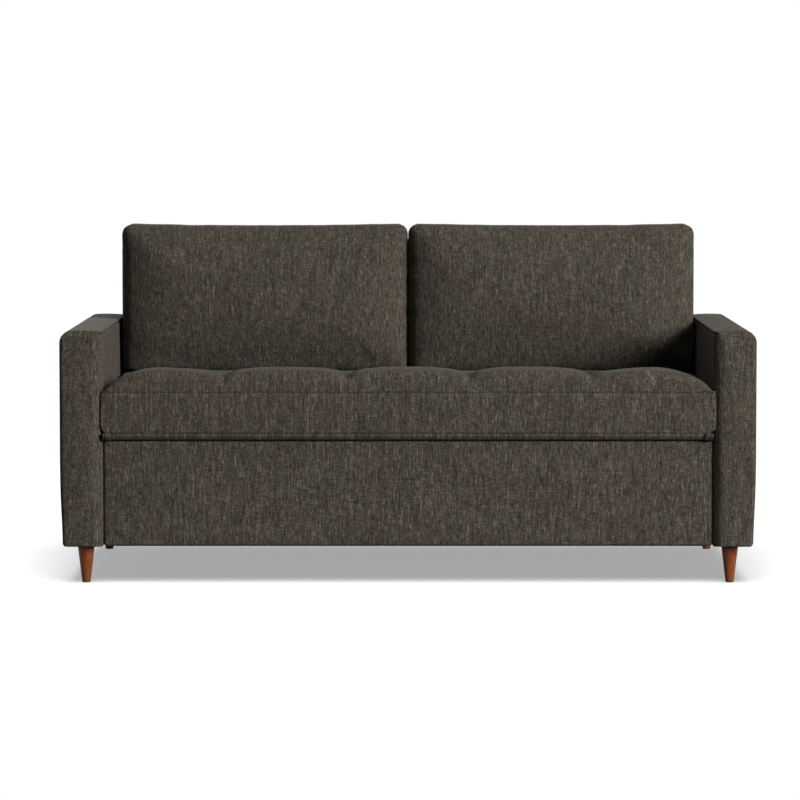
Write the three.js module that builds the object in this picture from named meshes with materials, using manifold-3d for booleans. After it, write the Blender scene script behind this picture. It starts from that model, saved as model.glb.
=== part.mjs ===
// Sleeper sofa whose seat and back roll forward together and open into a three-section bed.
// Millimetres, +Z up. The front faces -Y, and left is the viewer's left, towards -X.
// Depths are measured back from the front plane of the arms, and the whole group is then
// moved forward by half its depth, so the origin lies on the floor below the middle.

import * as THREE from 'three'
import { mergeVertices } from 'three/addons/utils/BufferGeometryUtils.js'
import Module from 'manifold-3d'

const wasm = await Module()
wasm.setup()

// Overall sizes
const overallWidth = 1850
const overallDepth = 950
const overallHeight = 940
const armHeight = 669
const armWidth = 114
const legHeight = 100

// Clearances
const fit = 0.3
const cutOverrun = 5
const restGap = 2
const hingeGap = 4
const swingGap = 6
const sectionGap = 2

// Arms
const armPadding = 12
const armOuterRadius = 30
const armInnerRadius = 16
const armLowerRadius = 10
const armEdgeRadius = 9
const armBoard = 18

// Fixed back
const backThickness = 42
const backPadding = 9
const backCornerRadius = 12
const backEdgeRadius = 8
const cushionAboveBack = 48
const wingThickness = 11
const wingEdgeRadius = 4
const wingCornerRadius = 8

// Front panel
const panelSetback = 20
const panelThickness = 25
const panelPadding = 8
const panelReturn = 6
const panelCornerRadius = 6
const panelEdgeRadius = 5

// Base
const dustThickness = 3
const railHeight = 28
const railDepth = 60
const frontRailSetback = 150
const rearRailInset = 158

// Wooden legs
const legTopRadius = 23
const legFootRadius = 11.3
const legFootChamfer = 2
const legSideInset = 65
const legFrontInset = 60
const legRearInset = 62
const legPlateDepth = 80
const legPlateThickness = 3
const legStudRadius = 5
const legStudLength = 26
const legBoreClearance = 0.5

// Mattress and decks
const mattressThickness = 114.5
const mattressSideGap = 28.7
const mattressRadius = 18
const deckThickness = 18
const foldGap = 3
const footMattressRise = 10
const footMattressTopGap = 3.8
const headRearGap = 23
const capThickness = 20
const capCornerRadius = 8
const capEdgeRadius = 6

// Steel of the bed mechanism
const steel = 4
const outerSteelGap = 0.5
const outerWasherGap = 3
const innerWasherGap = 4.5
const barRadius = 9
const earRadius = 8
const earSetback = 0.5
const crankClearance = 9
const neckClearance = 5
const pinRadius = 4
const pinHoleClearance = 0.4
const openPivotClearance = 0.8
const collarRadius = 7
const pinHead = 2
const bedLegInset = 35
const bedLegRadius = 10
const bedLegFloorGap = 1
const levelPivotInset = 142
const plateTopGap = 4
const plateHeight = 139
const plateRearMargin = 26
const plateCornerRadius = 10
const boltRadius = 8
const boltHead = 2
const boltInset = 60
const tabDepth = 50
const tabCount = 3

// Seat cushion
const seatSideGap = 10
const seatFrontGap = 10
const seatRearGap = 12
const bandLip = 4
const bandDepth = 22.5
const seatCushionEdge = 108
const seatCrown = 56
const seatSag = 26
const seatRearRise = 24
const seatRearSlope = 85
const seatSlopeGap = 22
const seatCornerRadius = 26
const seatDrawIn = 4
const seatShoulder = 60
const seatEndFall = 130
const endPuffWidth = 312
const tuftDip = 17
const tuftWidth = 52
const channelCount = 4

// Back cushions
const backCushionDepth = 192
const backCushionMiddleGap = 3
const backCushionSideGap = 13
const backCushionRadius = 20
const backCushionCrown = 22
const backCushionDrawIn = 5
const backCushionTopCrown = 4

// Smoothness of round stretches
const arcSteps = 5
const bevelSteps = 2
const discSteps = 12
const legSteps = 24

// Depths and heights that follow from the sizes above
const halfWidth = overallWidth / 2
const halfInside = halfWidth - armWidth
const railBottom = legHeight + dustThickness + fit
const railTop = railBottom + railHeight
const headDeckBottom = railTop + restGap
const headDeckTop = headDeckBottom + deckThickness
const headMattressBottom = headDeckTop + fit
const headMattressTop = headMattressBottom + mattressThickness
const foldHeight = headMattressTop + foldGap / 2
const middleMattressBottom = headMattressTop + foldGap
const seatDeckBottom = middleMattressBottom + mattressThickness + fit
const seatDeckTop = seatDeckBottom + deckThickness
const seatCushionBottom = seatDeckTop + fit
const backCushionBottom = seatCushionBottom + seatCushionEdge + seatRearRise + fit
const panelTop = seatDeckBottom - restGap
const panelRear = panelSetback + panelThickness
const backFront = overallDepth - backThickness
const fixedBackHeight = overallHeight - cushionAboveBack

// Steel planes on one side, each given by its inner face
const outerPlane = halfInside - outerSteelGap - steel
const middlePlane = outerPlane - outerWasherGap - steel
const innerPlane = middlePlane - innerWasherGap - steel
const deckHalfWidth = innerPlane - fit
const mattressHalfWidth = deckHalfWidth - mattressSideGap
const seatHalfWidth = halfInside - seatSideGap
const tuftSpacing = 2 * (seatHalfWidth - endPuffWidth) / (channelCount - 1)

// Pivots in the plane of depth and height
const point = (y, z) => new THREE.Vector2(y, z)
const mainPivot = point(barRadius + earSetback, seatDeckBottom + deckThickness / 2)
const foldPivot = point(panelRear + crankClearance + barRadius, foldHeight)
const backPivot = point(
  backFront - swingGap - mattressThickness - fit - deckThickness / 2,
  mainPivot.y,
)
const bandFront = mainPivot.x - bandLip
const bandRear = bandFront + bandDepth
const headSwing = foldPivot.distanceTo(mainPivot) - (foldPivot.x - mainPivot.x)
const headMattressRear = backFront - headSwing - headRearGap
const levelPivot = point(headMattressRear - levelPivotInset, headDeckBottom + deckThickness / 2)
const linkPivot = levelPivot.clone().add(mainPivot).sub(foldPivot)
const backPanelTop = fixedBackHeight - capThickness - fit
const midLegPivot = point(backPivot.x - bedLegInset, mainPivot.y)
const footLegPivot = point(backPivot.x, backPanelTop - barRadius)
const bedLegLength = mainPivot.y - bedLegFloorGap

// Materials
const material = (color, roughness, metalness = 0) =>
  new THREE.MeshStandardMaterial({ color, roughness, metalness })
const upholstery = material(0x3b3a38, 0.95)
const ticking = material(0xd8d3c8, 0.9)
const legWood = material(0x5a2f22, 0.45)
const frameWood = material(0xc8a878, 0.8)
const plywood = material(0xb99b70, 0.75)
const dustCloth = material(0x1d1d1e, 0.95)
const paintedSteel = material(0x26272a, 0.5, 0.6)
const pinSteel = material(0x9a9c9f, 0.35, 0.9)

// Solids

// A closed geometry becomes a solid that can be joined and cut.
function toSolid(geometry) {
  const bare = geometry.clone()
  bare.deleteAttribute('normal')
  bare.deleteAttribute('uv')
  const merged = mergeVertices(bare)
  return new wasm.Manifold(new wasm.Mesh({
    numProp: 3,
    vertProperties: new Float32Array(merged.attributes.position.array),
    triVerts: new Uint32Array(merged.index.array),
  }))
}

// A solid becomes a geometry again.
function toGeometry(solid) {
  const result = solid.getMesh()
  const geometry = new THREE.BufferGeometry()
  geometry.setAttribute('position', new THREE.BufferAttribute(result.vertProperties, 3))
  geometry.setIndex(new THREE.BufferAttribute(result.triVerts, 1))
  geometry.computeVertexNormals()
  return geometry
}

const join = (...geometries) =>
  toGeometry(geometries.map(toSolid).reduce((whole, piece) => whole.add(piece)))

const cut = (base, ...tools) =>
  toGeometry(tools.map(toSolid).reduce((rest, tool) => rest.subtract(tool), toSolid(base)))

// Box between two corners.
function block(low, high) {
  const [width, depth, height] = high.map((value, i) => value - low[i])
  const geometry = new THREE.BoxGeometry(width, depth, height)
  return geometry.translate(low[0] + width / 2, low[1] + depth / 2, low[2] + height / 2)
}

// Outline with one radius for all corners, or one each in the order low-low, high-low, high-high,
// low-high.
function roundedOutline(low, high, a, b = a, c = a, d = a) {
  const shape = new THREE.Shape()
  shape.moveTo(low.x + a, low.y)
  shape.absarc(high.x - b, low.y + b, b, -Math.PI / 2, 0)
  shape.absarc(high.x - c, high.y - c, c, 0, Math.PI / 2)
  shape.absarc(low.x + d, high.y - d, d, Math.PI / 2, Math.PI)
  shape.absarc(low.x + a, low.y + a, a, Math.PI, Math.PI * 3 / 2)
  return shape
}

// Outline of a flat bar with a round end about each of two points.
function barOutline(from, to, radius) {
  const shape = new THREE.Shape()
  const turn = Math.atan2(to.y - from.y, to.x - from.x)
  shape.absarc(from.x, from.y, radius, turn + Math.PI / 2, turn + Math.PI * 3 / 2)
  shape.absarc(to.x, to.y, radius, turn - Math.PI / 2, turn + Math.PI / 2)
  return shape
}

// Padded panel: an outline of width and height given a depth, with rounded front and rear edges.
function paddedPanel(shape, front, rear, edge) {
  const geometry = new THREE.ExtrudeGeometry(shape, {
    depth: rear - front - 2 * edge,
    curveSegments: arcSteps,
    bevelThickness: edge,
    bevelSize: edge,
    bevelOffset: -edge,
    bevelSegments: bevelSteps,
  })
  return geometry.rotateX(Math.PI / 2).translate(0, rear - edge, 0)
}

// Plate: an outline of depth and height, extruded across the width from zero, with sharp or
// rounded edges.
function plate(shape, thickness, edge = 0) {
  const geometry = new THREE.ExtrudeGeometry(shape, {
    depth: thickness - 2 * edge,
    curveSegments: discSteps / 2,
    bevelEnabled: edge > 0,
    bevelThickness: edge,
    bevelSize: edge,
    bevelOffset: -edge,
    bevelSegments: bevelSteps,
  })
  geometry.translate(0, 0, edge)
  return geometry.applyMatrix4(new THREE.Matrix4().makeBasis(
    new THREE.Vector3(0, 1, 0),
    new THREE.Vector3(0, 0, 1),
    new THREE.Vector3(1, 0, 0),
  ))
}

// Round bar across the width, between two distances from the plane that its mesh is placed on.
function crossRod(centre, radius, from, to) {
  const geometry = new THREE.CylinderGeometry(radius, radius, to - from, discSteps)
  return geometry.rotateZ(Math.PI / 2).translate((from + to) / 2, centre.x, centre.y)
}

// Holes for pins, cut through a plate that starts at zero.
function drill(geometry, centres, clearance = pinHoleClearance) {
  const bits = centres.map((centre) =>
    crossRod(centre, pinRadius + clearance, -cutOverrun, steel + cutOverrun))
  return cut(geometry, ...bits)
}

// Mirror image across the middle of the sofa.
function mirrored(geometry) {
  const image = geometry.clone().scale(-1, 1, 1)
  const solid = image.index ? image : mergeVertices(image)
  const order = solid.index.array
  for (let i = 0; i < order.length; i += 3) {
    [order[i + 1], order[i + 2]] = [order[i + 2], order[i + 1]]
  }
  solid.computeVertexNormals()
  return solid
}

function named(name, geometry, finish) {
  const mesh = new THREE.Mesh(geometry, finish)
  mesh.name = name
  return mesh
}

// The same piece on the right and, as its mirror image, on the left, at a distance from the middle.
function pair(name, geometry, finish, distance = 0) {
  const right = named(`${name}_right`, geometry, finish)
  const left = named(`${name}_left`, mirrored(geometry), finish)
  right.position.x = distance
  left.position.x = -distance
  return [left, right]
}

// Soft closed forms

const smooth = (t) => {
  const share = Math.min(Math.max(t, 0), 1)
  return share * share * (3 - 2 * share)
}

// Grid places along one edge of a soft block: two steps round each corner and even steps
// between, of which the nearest to each stop is moved onto it.
function gridPlaces(low, high, radius, count, stops) {
  const corner = [0, radius * (1 - Math.tan(Math.PI / 8)), radius]
  const inner = count - 2 * (corner.length - 1)
  const places = corner.map((step) => low + step)
  for (let i = 1; i < inner; i += 1) {
    places.push(low + radius + (high - low - 2 * radius) * i / inner)
  }
  for (const stop of stops) {
    const first = corner.length
    const nearest = places.reduce((best, place, i) =>
      (i >= first && Math.abs(place - stop) < Math.abs(places[best] - stop) ? i : best), first)
    places[nearest] = stop
  }
  return [...places, ...corner.map((step) => high - step).reverse()]
}

// Block with rounded edges on a grid, whose points a form then moves.
function softBlock(low, high, radius, counts, form = (p) => p, stops = [[], [], []]) {
  const box = new THREE.BoxGeometry(1, 1, 1, ...counts)
  const lists = counts.map((count, i) => gridPlaces(low[i], high[i], radius, count, stops[i]))
  const places = box.attributes.position
  for (let i = 0; i < places.count; i += 1) {
    const unit = [places.getX(i), places.getY(i), places.getZ(i)]
    const flat = unit.map((value, axis) => lists[axis][Math.round((value + 0.5) * counts[axis])])
    const core = flat.map((value, axis) =>
      Math.min(Math.max(value, low[axis] + radius), high[axis] - radius))
    const out = new THREE.Vector3(...flat).sub(new THREE.Vector3(...core))
    const rounded = out.setLength(radius).add(new THREE.Vector3(...core))
    const moved = form(rounded)
    places.setXYZ(i, moved.x, moved.y, moved.z)
  }
  box.deleteAttribute('normal')
  box.deleteAttribute('uv')
  const geometry = mergeVertices(box)
  geometry.computeVertexNormals()
  return geometry
}

// Fixed frame

function arm() {
  const cover = paddedPanel(
    roundedOutline(
      point(halfInside, legHeight),
      point(halfWidth, armHeight),
      armLowerRadius,
      armLowerRadius,
      armOuterRadius,
      armInnerRadius,
    ),
    0,
    overallDepth,
    armEdgeRadius,
  )
  const inside = block(
    [halfInside + armPadding, armPadding, legHeight - cutOverrun],
    [halfWidth - armPadding, overallDepth - armPadding, armHeight - armPadding],
  )
  const frameBottom = legHeight + legPlateThickness + fit
  const frame = cut(
    block(
      [halfInside + armPadding + fit, armPadding + fit, frameBottom],
      [halfWidth - armPadding - fit, overallDepth - armPadding - fit, armHeight - armPadding - fit],
    ),
    block(
      [halfInside + armPadding + fit + armBoard, -cutOverrun, frameBottom - cutOverrun],
      [halfWidth - armPadding - fit - armBoard, overallDepth + cutOverrun,
        armHeight - armPadding - fit - armBoard],
    ),
  )
  return [
    ...pair('arm_cover', cut(cover, inside), upholstery),
    ...pair('arm_frame', frame, frameWood),
  ]
}

function fixedBack() {
  const half = halfInside - fit
  const cover = paddedPanel(
    roundedOutline(
      point(-half, legHeight),
      point(half, fixedBackHeight),
      backCornerRadius,
    ),
    backFront,
    overallDepth,
    backEdgeRadius,
  )
  const inside = block(
    [-half + backPadding, backFront + backPadding, legHeight - cutOverrun],
    [half - backPadding, overallDepth - backPadding, fixedBackHeight - backPadding],
  )
  const board = block(
    [-half + backPadding + fit, backFront + backPadding + fit, legHeight + fit],
    [half - backPadding - fit, overallDepth - backPadding - fit, fixedBackHeight - backPadding - fit],
  )
  return [
    named('back_cover', cut(cover, inside), upholstery),
    named('back_frame', board, frameWood),
    ...pair('back_wing', backWing(), upholstery, halfInside - fit - wingThickness),
  ]
}

// Padded side wing that closes the gap between the fixed back and the moving back section.
function backWing() {
  const outline = roundedOutline(
    point(backPivot.x + barRadius + hingeGap, legHeight),
    point(backFront - fit, fixedBackHeight),
    wingCornerRadius,
  )
  return plate(outline, wingThickness, wingEdgeRadius)
}

function frontPanel() {
  const half = halfInside - fit
  const cover = paddedPanel(
    roundedOutline(
      point(-half, legHeight),
      point(half, panelTop),
      panelCornerRadius,
    ),
    panelSetback,
    panelRear,
    panelEdgeRadius,
  )
  const pocket = block(
    [-half + panelReturn, panelSetback + panelPadding, legHeight + panelReturn],
    [half - panelReturn, panelRear + cutOverrun, panelTop - panelReturn],
  )
  const rail = block(
    [-half + panelReturn + fit, panelSetback + panelPadding + fit, legHeight + panelReturn + fit],
    [half - panelReturn - fit, panelRear, panelTop - panelReturn - fit],
  )
  return [
    named('front_cover', cut(cover, pocket), upholstery),
    named('front_rail', rail, frameWood),
  ]
}

function base() {
  const half = halfInside - fit
  const crossRail = (name, setback) => named(
    name,
    block([-half, setback, railBottom], [half, setback + railDepth, railTop]),
    frameWood,
  )
  const wingFront = backPivot.x + barRadius + hingeGap
  const cloth = block(
    [-half, panelRear + fit, legHeight],
    [half, wingFront - fit, legHeight + dustThickness],
  )
  return [
    crossRail('cross_rail_front', frontRailSetback),
    crossRail('cross_rail_rear', backFront - rearRailInset - railDepth),
    named('dust_cover', cloth, dustCloth),
  ]
}

// Tapered wooden leg with a bore for the stud of its plate.
function woodenLeg() {
  const top = legHeight - fit
  const profile = [
    [0, 0],
    [legFootRadius - legFootChamfer, 0],
    [legFootRadius, legFootChamfer],
    [legTopRadius, top],
    [0, top],
  ].map(([radius, height]) => new THREE.Vector2(radius, height))
  const body = new THREE.LatheGeometry(profile, legSteps).rotateX(Math.PI / 2)
  const boreRadius = legStudRadius + legBoreClearance
  const boreDepth = legStudLength + legBoreClearance
  const bore = new THREE.CylinderGeometry(boreRadius, boreRadius, boreDepth + cutOverrun, discSteps)
  bore.rotateX(Math.PI / 2).translate(0, 0, top - (boreDepth - cutOverrun) / 2)
  return cut(body, bore)
}

// Steel plate under the arm frame, with the stud that the leg screws on.
function legPlate() {
  const inner = halfInside + armPadding + fit
  const outer = halfWidth - armPadding - fit
  const centre = halfWidth - legSideInset
  const sheet = block(
    [inner - centre, -legPlateDepth / 2, legHeight],
    [outer - centre, legPlateDepth / 2, legHeight + legPlateThickness],
  )
  const studTop = legHeight + legPlateThickness / 2
  const studBottom = legHeight - legStudLength
  const stud = new THREE.CylinderGeometry(legStudRadius, legStudRadius, studTop - studBottom, discSteps)
  stud.rotateX(Math.PI / 2).translate(0, 0, (studTop + studBottom) / 2)
  return join(sheet, stud)
}

function legs() {
  const distance = halfWidth - legSideInset
  const rows = { front: legFrontInset, rear: overallDepth - legRearInset }
  return Object.entries(rows).flatMap(([row, setback]) => {
    const pieces = [
      ...pair(`leg_${row}`, woodenLeg(), legWood, distance),
      ...pair(`leg_plate_${row}`, legPlate(), pinSteel, distance),
    ]
    pieces.forEach((piece) => { piece.position.y = setback })
    return pieces
  })
}

// Fixed steel plate on the inside of each arm, with the neck and ear of the main hinge.
function sidePlate() {
  const top = mainPivot.y - bedLegRadius - plateTopGap
  const bottom = top - plateHeight
  const neck = point(panelRear + neckClearance + barRadius, mainPivot.y)
  const rear = linkPivot.x + plateRearMargin
  const body = plate(
    roundedOutline(
      point(neck.x - barRadius, bottom),
      point(rear, top),
      plateCornerRadius,
    ),
    steel,
  )
  const ear = plate(barOutline(mainPivot, neck, earRadius), steel)
  const upright = plate(barOutline(neck, point(neck.x, top - plateHeight / 2), barRadius), steel)
  const boltPlaces = [neck.x + boltInset, rear - 2 * boltInset].flatMap((y) => [
    point(y, top - boltInset / 2),
    point(y, bottom + boltInset / 2),
  ])
  const bolts = boltPlaces.map((centre) => crossRod(centre, boltRadius, -boltHead, steel / 2))
  return drill(join(body, ear, upright, ...bolts), [mainPivot, linkPivot])
}

// Shouldered pins

// Pin through the middle and outer steel planes, its head on the inner side.
function outerPin(centre) {
  return join(
    crossRod(centre, pinRadius, -fit, 2 * steel + outerWasherGap),
    crossRod(centre, collarRadius, -fit - pinHead, -fit),
    crossRod(centre, collarRadius, steel + fit, steel + outerWasherGap - fit),
  )
}

// Pin through the inner and middle steel planes, its head on the outer side.
function innerPin(centre) {
  const outside = 2 * steel + innerWasherGap + fit
  return join(
    crossRod(centre, pinRadius, 0, outside),
    crossRod(centre, collarRadius, steel + fit, steel + innerWasherGap - fit),
    crossRod(centre, collarRadius, outside, outside + pinHead),
  )
}

// Pin through the inner and outer steel planes, with a collar that fills the middle one.
function widePin(centre) {
  const span = outerPlane - innerPlane
  return join(
    crossRod(centre, pinRadius, 0, span + steel),
    crossRod(centre, collarRadius, steel + fit, span - fit),
  )
}

// Seat section

// Side arm of the seat: a straight bar with a crank down to the fold line and tabs to the deck.
function seatArm() {
  const knee = point(foldPivot.x, mainPivot.y)
  const bar = plate(barOutline(mainPivot, backPivot, barRadius), steel)
  const crank = plate(barOutline(knee, foldPivot, barRadius), steel)
  const first = foldPivot.x + tabDepth
  const last = midLegPivot.x - 2 * tabDepth
  const tabs = Array.from({ length: tabCount }, (_, i) => {
    const start = first + (last - first) * i / (tabCount - 1)
    return block(
      [innerPlane - middlePlane, start, mainPivot.y - barRadius / 2],
      [steel / 2, start + tabDepth, mainPivot.y + barRadius / 2],
    )
  })
  return drill(join(bar, crank, ...tabs), [mainPivot, foldPivot, backPivot, midLegPivot])
}

const channelPlaces = Array.from({ length: channelCount }, (_, i) =>
  tuftSpacing * (i - (channelCount - 1) / 2))
const seatSlopeEnd = backPivot.x - deckThickness / 2 - backCushionDepth - seatSlopeGap
const seatSlopeStart = seatSlopeEnd - seatRearSlope
const seatSagStart = seatFrontGap + seatShoulder

const bump = (away) => Math.exp(-((away / tuftWidth) ** 2))

// Crown of the seat cushion above its top seam: puffs between sewn channels that sag towards
// the rear, then a flat that the back cushions stand on.
function seatCrownAt(x, y) {
  const shoulder = smooth((y - seatFrontGap) / seatShoulder)
  const back = smooth((y - seatSlopeStart) / seatRearSlope)
  const end = smooth((seatHalfWidth - Math.abs(x)) / seatEndFall)
  const channel = channelPlaces.reduce((sum, place) => sum + bump(x - place), 0)
  const sag = smooth((y - seatSagStart) / (seatSlopeStart - seatSagStart))
  const puffed = (seatCrown - tuftDip * channel - seatSag * sag) * shoulder * end
  return puffed * (1 - back) + seatRearRise * back
}

function seatCushion() {
  const front = seatFrontGap
  const rear = backPivot.x - deckThickness / 2 - seatRearGap
  const bottom = seatCushionBottom
  const form = (p) => {
    const rise = (p.z - bottom) / seatCushionEdge
    const along = p.x / seatHalfWidth
    const across = (2 * p.y - front - rear) / (rear - front)
    const side = Math.sign(p.x) * smooth(Math.abs(along)) * (1 - across * across)
    const face = across < 0 ? (1 - along * along) * across * across : 0
    return new THREE.Vector3(
      p.x - seatDrawIn * side,
      p.y - seatDrawIn * face * Math.sin(Math.PI * Math.min(rise, 1)),
      p.z + seatCrownAt(p.x, p.y) * smooth(rise),
    )
  }
  return softBlock(
    [-seatHalfWidth, front, bottom],
    [seatHalfWidth, rear, bottom + seatCushionEdge],
    seatCornerRadius,
    [32, 12, 5],
    form,
    [channelPlaces, [seatSagStart, seatSlopeStart, seatSlopeEnd], []],
  )
}

function mattress(name, low, high) {
  const steps = [6, 6, 6]
  return named(name, softBlock(low, high, mattressRadius, steps), ticking)
}

function seatSection() {
  const band = block(
    [-deckHalfWidth, bandFront, seatDeckBottom],
    [deckHalfWidth, bandRear, seatDeckTop],
  )
  const deck = block(
    [-deckHalfWidth, bandRear + fit, seatDeckBottom],
    [deckHalfWidth, backPivot.x - deckThickness / 2 - hingeGap, seatDeckTop],
  )
  return [
    named('seat_band', band, upholstery),
    named('seat_deck', deck, plywood),
    named('seat_cushion', seatCushion(), upholstery),
    mattress(
      'mattress_middle',
      [-mattressHalfWidth, foldPivot.x + sectionGap / 2, middleMattressBottom],
      [mattressHalfWidth, backPivot.x + footMattressRise - sectionGap, seatDeckBottom - fit],
    ),
    ...pair('seat_arm', seatArm(), paintedSteel, middlePlane),
    ...pair('back_pin', innerPin(backPivot), pinSteel, innerPlane),
    ...pair('fold_pin', innerPin(foldPivot), pinSteel, innerPlane),
    ...pair('mid_leg_pin', outerPin(midLegPivot), pinSteel, middlePlane),
  ]
}

// Back section

function backCushion() {
  const rear = backPivot.x - deckThickness / 2 - fit
  const front = rear - backCushionDepth + fit
  const inner = backCushionMiddleGap
  const outer = halfInside - backCushionSideGap
  const bottom = backCushionBottom
  const top = overallHeight - backCushionTopCrown
  const form = (p) => {
    const along = (2 * p.x - inner - outer) / (outer - inner)
    const up = (2 * p.z - bottom - top) / (top - bottom)
    const forward = (rear - p.y) / (rear - front)
    const bulge = (1 - along ** 2) * (1 - up ** 4)
    const edge = smooth((p.z - bottom) / (top - bottom) * 2 - 1)
    const waist = backCushionDrawIn * forward * Math.abs(up) ** 2 * Math.sign(along)
    return new THREE.Vector3(
      p.x - waist * smooth(Math.abs(along)) * edge,
      p.y + backCushionCrown * smooth(forward) * (1 - bulge),
      p.z + backCushionTopCrown * (1 - along ** 4) * edge,
    )
  }
  return softBlock(
    [inner, front, bottom],
    [outer, rear, top],
    backCushionRadius,
    [14, 7, 11],
    form,
  )
}

function backSection() {
  const panelFront = backPivot.x - deckThickness / 2
  const panelBack = backPivot.x + deckThickness / 2
  const panel = block(
    [-deckHalfWidth, panelFront, backPivot.y + deckThickness / 2 + hingeGap],
    [deckHalfWidth, panelBack, backPanelTop],
  )
  const mattressFront = panelBack + fit
  const mattressBottom = backPivot.y + footMattressRise
  const capRear = mattressFront + mattressThickness + sectionGap
  const cap = paddedPanel(
    roundedOutline(
      point(-deckHalfWidth - fit - steel, backPanelTop + fit),
      point(deckHalfWidth + fit + steel, fixedBackHeight),
      capCornerRadius,
    ),
    panelFront,
    capRear,
    capEdgeRadius,
  )
  return [
    named('back_panel', panel, plywood),
    named('back_cap', cap, upholstery),
    ...pair('back_cushion', backCushion(), upholstery),
    mattress(
      'mattress_foot',
      [-mattressHalfWidth, mattressFront, mattressBottom],
      [mattressHalfWidth, mattressFront + mattressThickness, backPanelTop - footMattressTopGap],
    ),
    ...pair(
      'back_bar',
      drill(plate(barOutline(backPivot, footLegPivot, barRadius), steel), [backPivot, footLegPivot]),
      paintedSteel,
      innerPlane,
    ),
    ...pair('foot_leg_pin', widePin(footLegPivot), pinSteel, innerPlane),
  ]
}

// Head section

// Side bar of the head section: along the deck, with a horn up to the fold line.
function headBar() {
  const heel = point(foldPivot.x, levelPivot.y)
  const toe = point(headMattressRear - barRadius, levelPivot.y)
  const horn = plate(barOutline(foldPivot, heel, barRadius), steel)
  const bar = plate(barOutline(heel, toe, barRadius), steel)
  return drill(drill(join(horn, bar), [foldPivot]), [levelPivot], openPivotClearance)
}

function headSection() {
  const openShift = 2 * (foldPivot.x - mainPivot.x)
  const bandOpen = 2 * mainPivot.x - bandFront
  const deck = block(
    [-deckHalfWidth, bandOpen + openShift + restGap, headDeckBottom],
    [deckHalfWidth, headMattressRear, headDeckTop],
  )
  return [
    named('head_deck', deck, plywood),
    mattress(
      'mattress_head',
      [-mattressHalfWidth, foldPivot.x + sectionGap / 2, headMattressBottom],
      [mattressHalfWidth, headMattressRear, headMattressTop],
    ),
    ...pair('head_bar', headBar(), paintedSteel, innerPlane),
  ]
}

function rearLinks() {
  const link = drill(
    plate(barOutline(linkPivot, levelPivot, barRadius), steel),
    [linkPivot, levelPivot],
  )
  return [
    ...pair('rear_link', link, paintedSteel, middlePlane),
    ...pair('level_pin', innerPin(levelPivot), pinSteel, innerPlane),
  ]
}

// Flat steel leg of the open bed, from its pivot to a square end.
function bedLeg(pivot, direction) {
  const side = point(-direction.y, direction.x).multiplyScalar(bedLegRadius)
  const end = pivot.clone().addScaledVector(direction, bedLegLength)
  const blade = new THREE.Shape([
    pivot.clone().add(side),
    pivot.clone().sub(side),
    end.clone().sub(side),
    end.clone().add(side),
  ])
  const boss = crossRod(pivot, bedLegRadius, 0, steel)
  return drill(join(plate(blade, steel), boss), [pivot])
}

const group = new THREE.Group()
group.position.y = -overallDepth / 2

const bodies = [
  [
    ...arm(),
    ...fixedBack(),
    ...frontPanel(),
    ...base(),
    ...legs(),
    ...pair('side_plate', sidePlate(), paintedSteel, outerPlane),
    ...pair('main_pin', outerPin(mainPivot), pinSteel, middlePlane),
    ...pair('link_pin', outerPin(linkPivot), pinSteel, middlePlane),
  ],
  seatSection(),
  backSection(),
  headSection(),
  rearLinks(),
  pair('mid_leg', bedLeg(midLegPivot, point(-1, 0)), paintedSteel, outerPlane),
  pair('foot_leg', bedLeg(footLegPivot, point(0, -1)), paintedSteel, outerPlane),
]
bodies.forEach((pieces) => group.add(new THREE.Group().add(...pieces)))

export default group
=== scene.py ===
from math import cos, pi, radians, sin, tan

import bpy
import numpy as np
from mathutils import Matrix, Vector, noise


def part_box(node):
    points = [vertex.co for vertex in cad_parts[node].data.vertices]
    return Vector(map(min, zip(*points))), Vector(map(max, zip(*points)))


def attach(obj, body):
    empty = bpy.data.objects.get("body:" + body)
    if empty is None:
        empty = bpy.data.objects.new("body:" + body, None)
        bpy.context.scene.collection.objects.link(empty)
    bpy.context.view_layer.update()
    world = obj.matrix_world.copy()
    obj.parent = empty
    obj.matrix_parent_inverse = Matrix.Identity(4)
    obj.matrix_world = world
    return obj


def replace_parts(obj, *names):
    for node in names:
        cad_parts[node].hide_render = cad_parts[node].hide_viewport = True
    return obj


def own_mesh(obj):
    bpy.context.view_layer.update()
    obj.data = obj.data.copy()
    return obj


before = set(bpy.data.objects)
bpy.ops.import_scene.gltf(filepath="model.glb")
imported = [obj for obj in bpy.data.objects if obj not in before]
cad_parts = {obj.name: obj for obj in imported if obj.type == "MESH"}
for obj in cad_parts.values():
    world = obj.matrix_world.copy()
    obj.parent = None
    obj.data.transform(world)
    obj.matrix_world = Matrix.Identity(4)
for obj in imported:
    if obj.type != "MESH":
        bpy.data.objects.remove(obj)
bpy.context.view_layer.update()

# Grid of the soft forms

FINE_STEP = 0.003
WIDE_STEP = 0.010
ROUND_TURNS = 4
STOP_OFFSETS = (-1.5, -1.0, -0.5, 0.0, 0.5, 1.0, 1.5)
LEAST_GAP = 0.2
TINY = 1e-9

# Seams

SEAM_DEPTH = 0.002
SEAM_WIDTH = 0.0025


# Small helpers

def smooth(value):
    """0 below 0, 1 above 1 and a smooth rise between them."""
    t = np.clip(value, 0.0, 1.0)
    return t * t * (3 - 2 * t)


def bump(away, width):
    """1 at no distance away, falling to 0 over about twice the width."""
    return np.exp(-((away / width) ** 2))


def ripple(points, scale, depth, seed):
    """Slow unevenness of stuffed cloth at each point."""
    shift = Vector((seed, 2.0 * seed, 3.0 * seed))
    values = [noise.noise(Vector(point) * scale + shift) for point in points]
    return depth * np.array(values)


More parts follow.
